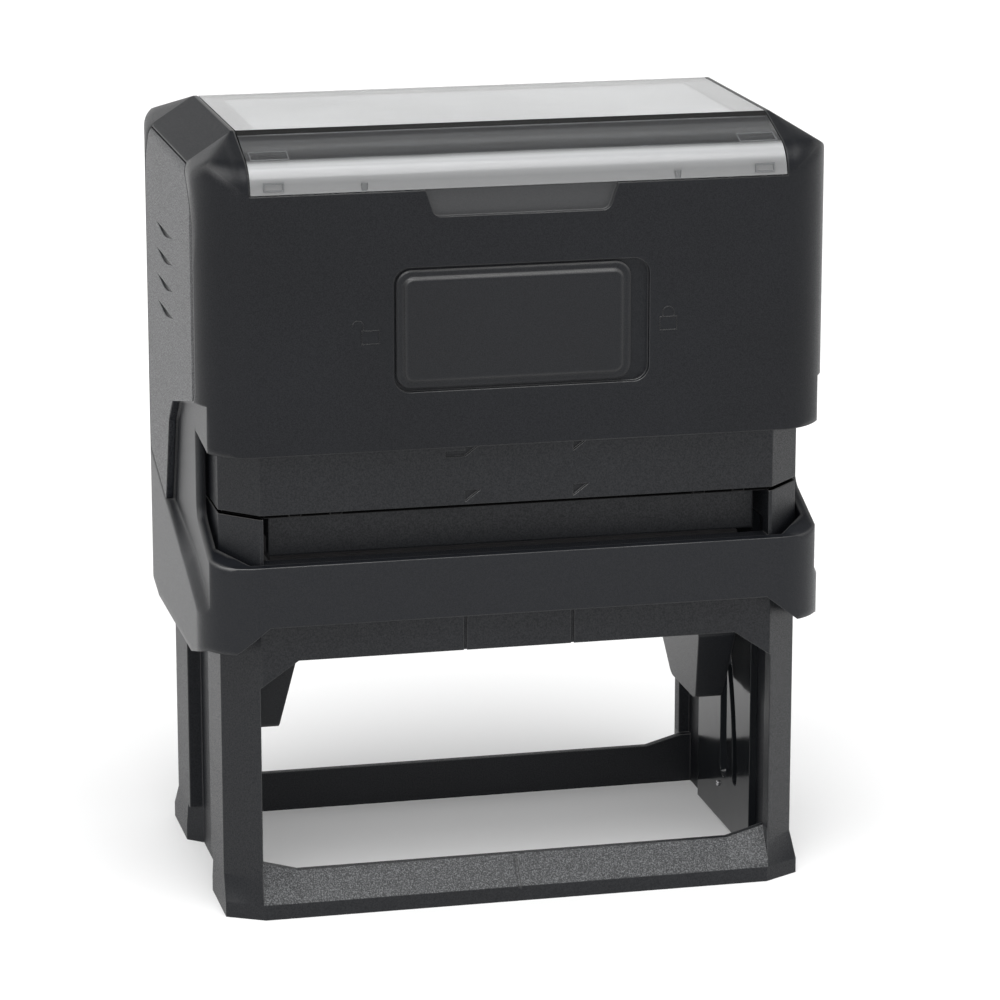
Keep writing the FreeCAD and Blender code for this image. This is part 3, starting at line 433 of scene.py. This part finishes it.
def rubber(name, colour, pores, rough):
    """Matt rubber or foam, with pores of the given size."""
    material, tree, shader = new_material(name)
    where = place(tree)
    holes = cells(tree, where, 1 / pores)
    mottle = noise(tree, where, 300.0, 3.0)
    base = mix_colours(tree, ramp(tree, mottle, 0.35, 0.65, 0, 1), shade(colour, 0.8), colour)
    tree.links.new(base, shader.inputs["Base Color"])
    roughness = ramp(tree, mottle, 0.35, 0.65, rough * 0.9, min(1.0, rough * 1.1))
    tree.links.new(roughness, shader.inputs["Roughness"])
    bump(tree, shader, holes, pores * 0.25)
    return material


FRAME_GRAIN = moulded(
    "frame_grain",
    CHARCOAL,
    grain=0.2 * MM,
    depth=0.03 * MM,
    rough=(0.36, 0.56),
    speck=0.18,
    gloss=0.32,
    coarse_grain_and_glints=slopes_of_foot,
    tints_and_painted_light=frame_painted_gap_shadow,
)
CAP_SATIN = moulded(
    "cap_satin",
    CHARCOAL,
    grain=0.13 * MM,
    depth=0.012 * MM,
    rough=(0.3, 0.42),
    speck=0.2,
    gloss=0.22,
    rounding=cap_rounding,
    tints_and_painted_light=cap_tints_and_painted_light,
)
LOCK_SATIN = moulded(
    "lock_satin",
    CHARCOAL,
    grain=0.13 * MM,
    depth=0.012 * MM,
    rough=(0.28, 0.4),
    speck=0.2,
    gloss=0.28,
    rounding=lock_rounding,
)
PANEL_GRAIN = moulded(
    "panel_grain",
    shade(CHARCOAL, 1.6),
    grain=0.24 * MM,
    depth=0.045 * MM,
    rough=(0.3, 0.5),
    speck=0.45,
    gloss=0.34,
)
INNER_SATIN = moulded(
    "inner_satin",
    CHARCOAL,
    grain=0.14 * MM,
    depth=0.015 * MM,
    rough=(0.3, 0.42),
    speck=0.2,
    gloss=0.3,
)
TRAY_GREY = moulded(
    "tray_grey",
    (0.26, 0.265, 0.27),
    grain=0.14 * MM,
    depth=0.01 * MM,
    rough=(0.35, 0.5),
    speck=0.04,
    gloss=0.3,
)
CAM_GLOSS = polished("cam_gloss", (0.007, 0.0078, 0.009), 0.09, 0.3)
SPRING_STEEL = steel("spring_steel", (0.55, 0.55, 0.56), 0.25)
PIN_STEEL = steel("pin_steel", (0.6, 0.6, 0.61), 0.2)
# Painted shade: the white card is given a grey colour.
CARD_STOCK = card("card_stock", (0.32, 0.325, 0.33))
COVER_CLEAR = clear_plastic("cover_clear", (0.95, 0.96, 0.965), (0.62, 0.63, 0.64), 0.05)
COVER_EDGE = polished("cover_edge", (0.1, 0.103, 0.106), 0.12)
COVER_RIB = polished("cover_rib", (0.09, 0.093, 0.095), 0.2)
PAD_FELT = felt("pad_felt", (0.03, 0.03, 0.045), (0.008, 0.008, 0.014))
FOAM = rubber("plate_foam", (0.05, 0.05, 0.052), 0.25 * MM, 0.9)
# Painted shade: the text plate's rubber is dark grey, so that it reads dark where it shows in the gap under
# the cartridge.
TEXT_RUBBER = rubber("text_rubber", (0.035, 0.034, 0.036), 0.08 * MM, 0.7)

# Each CAD node's material, but for the nodes that a piece of this script stands for.
FINISHES = {
    "base_frame": FRAME_GRAIN,
    "upper_frame": FRAME_GRAIN,
    "pad_cartridge": FRAME_GRAIN,
    "cam_plate_left": CAM_GLOSS,
    "cam_plate_right": CAM_GLOSS,
    "cap_shell": CAP_SATIN,
    "lock_button": LOCK_SATIN,
    "lock_catch": INNER_SATIN,
    "side_panel_left": PANEL_GRAIN,
    "side_panel_right": PANEL_GRAIN,
    "yoke_left": INNER_SATIN,
    "yoke_right": INNER_SATIN,
    "plate_holder": INNER_SATIN,
    "card_tray": TRAY_GREY,
    "index_card": CARD_STOCK,
    "clear_cover": COVER_CLEAR,
    "text_plate": TEXT_RUBBER,
    "pivot_pin_left": PIN_STEEL,
    "pivot_pin_right": PIN_STEEL,
    "cam_follower_left": PIN_STEEL,
    "cam_follower_right": PIN_STEEL,
}


def paint_nodes():
    """Give each CAD node its own finish."""
    for name, material in FINISHES.items():
        mesh = nodes[name].data
        mesh.materials.clear()
        mesh.materials.append(material)


# ---- pieces --------------------------------------------------------------------------------------


def add_piece(name, grid, material, body, smooth=True):
    """Turn a bmesh into a piece that rides on a body."""
    bmesh.ops.recalc_face_normals(grid, faces=grid.faces)
    mesh = bpy.data.meshes.new(name)
    grid.to_mesh(mesh)
    grid.free()
    mesh.materials.append(material)
    for face in mesh.polygons:
        face.use_smooth = smooth
    piece = bpy.data.objects.new(name, mesh)
    bpy.context.scene.collection.objects.link(piece)
    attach(piece, body)
    return piece


def rounded_outline(half_x, half_y, radius, steps):
    """Points round a rectangle with rounded corners, anticlockwise."""
    points = []
    for number, (x, y) in enumerate(((1, 1), (-1, 1), (-1, -1), (1, -1))):
        for step in range(steps + 1):
            angle = (number + step / steps) * math.pi / 2
            centre = (x * (half_x - radius), y * (half_y - radius))
            points.append((centre[0] + radius * math.cos(angle), centre[1] + radius * math.sin(angle)))
    return points


def skin(grid, rings):
    """Faces between closed rings of points, and over the first and the last."""
    for near, far in zip(rings, rings[1:]):
        for i in range(len(near)):
            after = (i + 1) % len(near)
            grid.faces.new((near[i], near[after], far[after], far[i]))
    grid.faces.new(rings[0])
    grid.faces.new(rings[-1])


def soft_block(low, high, radius, crown):
    """A closed soft slab: rounded corners, rolled rims and slightly crowned faces, inside a box."""
    grid = bmesh.new()
    middle, half = (low + high) / 2, (high - low) / 2
    rows = 6
    rim = []
    for row in range(rows + 1):
        level = math.pi * (row / rows - 0.5)
        pull = half.z * (1 - math.cos(level))
        outline = rounded_outline(half.x - pull, half.y - pull, radius, 6)
        rim.append([(x, y, half.z * math.sin(level) * (1 - crown)) for x, y in outline])
    faces = []
    for outer, side in ((rim[0], -1), (rim[-1], 1)):
        faces.append([
            [(x * share, y * share, side * half.z * (1 - crown * share * share)) for x, y, _ in outer]
            for share in (0.9, 0.6, 0.25)
        ])
    rings = faces[0][::-1] + rim + faces[1]
    skin(grid, [[grid.verts.new(middle + Vector(spot)) for spot in ring] for ring in rings])
    return grid


def build_soft_pieces():
    """The inked felt and the foam under the text plate, in the room of their CAD solids."""
    for name, node, material, body, crown in (
        ("ink_felt", "ink_pad", PAD_FELT, "pad", 0.12),
        ("foam_sheet", "foam_layer", FOAM, "plate", 0.04),
    ):
        low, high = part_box(node)
        grid = soft_block(low, high, 1.5 * MM, crown)
        piece = add_piece(name, grid, material, body)
        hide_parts(node)


def coil_level(turn, close):
    """How far up the spring a turn lies, from 0 to 1: one close turn at each end and even ones between."""
    ends = min(turn, 1) + max(turn - COIL_TURNS + 1, 0)
    opened = min(max((turn - 1) / (COIL_TURNS - 2), 0), 1)
    return ends * close + opened * (1 - 2 * close)


def coil(low, high):
    """A coil spring that fills a box, with its ends closed."""
    grid = bmesh.new()
    middle, wire = (low + high) / 2, COIL_WIRE / 2
    radius = (high.y - low.y) / 2 - wire
    length = high.z - low.z - COIL_WIRE
    rings = []
    for step in range(COIL_TURNS * COIL_STEPS + 1):
        turn = step / COIL_STEPS
        out = Vector((math.cos(2 * math.pi * turn), math.sin(2 * math.pi * turn), 0))
        height = low.z + wire + coil_level(turn, COIL_WIRE / length) * length
        centre = Vector((middle.x, middle.y, height)) + out * radius
        tilts = [2 * math.pi * corner / COIL_SIDES for corner in range(COIL_SIDES)]
        rings.append([grid.verts.new(centre + (out * math.cos(t) + UP * math.sin(t)) * wire) for t in tilts])
    skin(grid, rings)
    return grid


def build_springs():
    """The cap's return springs, drawn as coils that fill their CAD solids on the base; the real springs
    shorten as the cap goes down.
    """
    for side in ("left", "right"):
        node = f"return_spring_{side}"
        low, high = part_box(node)
        piece = add_piece(f"coil_{side}", coil(low, high), SPRING_STEEL, "base")
        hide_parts(node)
        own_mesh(piece)


def ridge(grid, origin, up, points, width, height, closed):
    """A raised line with sloping sides along points of the plane that the X axis and up span."""
    normal = ACROSS.cross(up).normalized()
    count = len(points)
    rows = []
    for i, point in enumerate(points):
        before = points[i - 1] if closed or i else point
        after = points[(i + 1) % count] if closed or i < count - 1 else point
        first, last = Vector(point) - Vector(before), Vector(after) - Vector(point)
        heading = (first.normalized() + last.normalized()).normalized()
        side = Vector((-heading.y, heading.x))
        turn = max(0.5, side.dot(Vector((-last.y, last.x)).normalized()) if last.length else 1.0)
        row = []
        for share, level in ((-1, -0.5), (-0.6, 1), (0.6, 1), (1, -0.5)):
            spot = Vector(point) + side * (share * width / 2 / turn)
            row.append(grid.verts.new(origin + ACROSS * spot.x + up * spot.y + normal * (level * height)))
        rows.append(row)
    if not closed:
        skin(grid, rows)
        return
    for one, two in zip(rows, rows[1:] + rows[:1]):
        for k in range(4):
            after = (k + 1) % 4
            grid.faces.new((one[k], one[after], two[after], two[k]))


def rectangle(wide, high):
    """The corners of a rectangle round the origin."""
    return [(-wide / 2, -high / 2), (wide / 2, -high / 2), (wide / 2, high / 2), (-wide / 2, high / 2)]


def build_padlocks():
    """A faint open padlock on the left of the lock and a closed one on its right."""
    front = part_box("cap_shell")[0].y
    line, relief, bow_radius, bow_low, bow_high = 0.2 * MM, 0.06 * MM, 0.85 * MM, 1.0 * MM, 1.7 * MM
    marks = (("open_padlock", OPEN_MARK_AT, -1.9 * MM), ("closed_padlock", CLOSED_MARK_AT, 0))
    for name, at, swing in marks:
        grid = bmesh.new()
        origin = Vector((at, front, MARK_LEVEL))
        ridge(grid, origin, UP, rectangle(2.6 * MM, 2.0 * MM), line, relief, True)
        arc = [math.pi * step / 8 for step in range(9)]
        bow = [(swing + bow_radius * math.cos(a), bow_high + bow_radius * math.sin(a)) for a in arc]
        bow.insert(0, (bow[0][0], bow_low))
        if not swing:
            bow.append((bow[-1][0], bow_low))
        ridge(grid, origin, UP, bow, line, relief, False)
        add_piece(name, grid, CAP_SATIN, "cap", smooth=False)


def build_cover_details():
    """Moulded clips at the cover's front corners and two faint ribs on its front lip."""
    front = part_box("clear_cover")[0].y
    slope = Vector((0, 12.4, 4.2)).normalized()
    for side, name in ((-1, "left"), (1, "right")):
        grid = bmesh.new()
        upper = Vector((side * CLIP_AT, -24.6 * MM, 116.28 * MM))
        ridge(grid, upper, slope, rectangle(5.6 * MM, 2.4 * MM), 0.22 * MM, 0.08 * MM, True)
        lower = Vector((side * (CLIP_AT + 0.1 * MM), front + 0.06 * MM, 112.4 * MM))
        ridge(grid, lower, UP, rectangle(2.8 * MM, 1.1 * MM), 0.3 * MM, 0.12 * MM, True)
        add_piece(f"cover_clip_{name}", grid, COVER_EDGE, "cover", smooth=False)
        grid = bmesh.new()
        foot = Vector((side * RIB_AT, front + 0.05 * MM, 112.0 * MM))
        ridge(grid, foot, UP, [(0, -0.6 * MM), (0, 0.6 * MM)], 1.0 * MM, 0.08 * MM, False)
        add_piece(f"cover_rib_{name}", grid, COVER_RIB, "cover", smooth=False)


def build_studs():
    """A small bright locating stud low on each inner wall of the base."""
    turns = [2 * math.pi * step / 16 for step in range(16)]
    for side, name in ((-1, "left"), (1, "right")):
        grid = bmesh.new()
        rings = []
        for reach, radius in ((0.1 * MM, 0.45 * MM), (-0.25 * MM, 0.45 * MM), (-0.4 * MM, 0.3 * MM)):
            centre = Vector((side * (STUD_PLACE.x + reach), STUD_PLACE.y, STUD_PLACE.z))
            spokes = [Vector((0, math.cos(turn), math.sin(turn))) for turn in turns]
            rings.append([grid.verts.new(centre + spoke * radius) for spoke in spokes])
        skin(grid, rings)
        add_piece(f"stud_{name}", grid, PIN_STEEL, "base")


# ---- stage ---------------------------------------------------------------------------------------


def build_floor():
    """A pale floor, wide enough to fill every view."""
    material, tree, shader = new_material("floor_white")
    white = (0.97, 0.97, 0.97)
    tone = noise(tree, place(tree), 8.0, 2.0)
    tree.links.new(mix_colours(tree, tone, white, shade(white, 0.99)), shader.inputs["Base Color"])
    shader.inputs["Roughness"].default_value = 0.6
    shader.inputs["Specular IOR Level"].default_value = 0.2
    grid = bmesh.new()
    bmesh.ops.create_grid(grid, x_segments=24, y_segments=24, size=6.0)
    mesh = bpy.data.meshes.new("floor")
    grid.to_mesh(mesh)
    grid.free()
    mesh.materials.append(material)
    floor = bpy.data.objects.new("floor", mesh)
    bpy.context.scene.collection.objects.link(floor)


def distant_light(name, heading, power, spread, shadows):
    """A far lamp that shines along a heading, as wide as spread in degrees."""
    light = bpy.data.lights.new(name, "SUN")
    light.energy = power
    light.angle = math.radians(spread)
    light.use_shadow = shadows
    lamp = bpy.data.objects.new(name, light)
    lamp.rotation_mode = "QUATERNION"
    lamp.rotation_quaternion = Vector(heading).to_track_quat("-Z", "Y")
    bpy.context.scene.collection.objects.link(lamp)


def build_lights():
    """A soft key light from above the front and a fill, in a white studio that is dimmer overhead."""
    distant_light("key", (0.06, 0.36, -0.93), power=2.05, spread=44, shadows=True)
    distant_light("fill", (0.35, 0.6, -0.72), power=1.1, spread=40, shadows=False)
    world = bpy.data.worlds.new("studio")
    world.use_nodes = True
    tree = world.node_tree
    height = along_axis(tree, tree.nodes.new("ShaderNodeTexCoord").outputs["Generated"], "Z")
    sky = tree.nodes["Background"]
    sky.inputs["Color"].default_value = (1, 1, 1, 1)
    tree.links.new(ramp(tree, height, 0.15, 0.6, 1.0, 0.3), sky.inputs["Strength"])
    bpy.context.scene.world = world
    bpy.context.scene.view_settings.view_transform = "Standard"


def build_camera():
    """A long lens at the photograph's view."""
    camera = bpy.data.cameras.new("camera")
    camera.sensor_width = SENSOR_WIDTH
    camera.lens = LENS
    camera.clip_end = 50
    holder = bpy.data.objects.new("camera", camera)
    level = math.cos(CAMERA_PITCH)
    ahead = Vector((math.sin(CAMERA_YAW) * level, math.cos(CAMERA_YAW) * level, -math.sin(CAMERA_PITCH)))
    holder.location = CAMERA_AIM - ahead * CAMERA_DISTANCE
    holder.rotation_mode = "QUATERNION"
    holder.rotation_quaternion = ahead.to_track_quat("-Z", "Y")
    bpy.context.scene.collection.objects.link(holder)
    bpy.context.scene.camera = holder


paint_nodes()
build_soft_pieces()
build_springs()
build_padlocks()
build_cover_details()
build_studs()
build_floor()
build_lights()
build_camera()
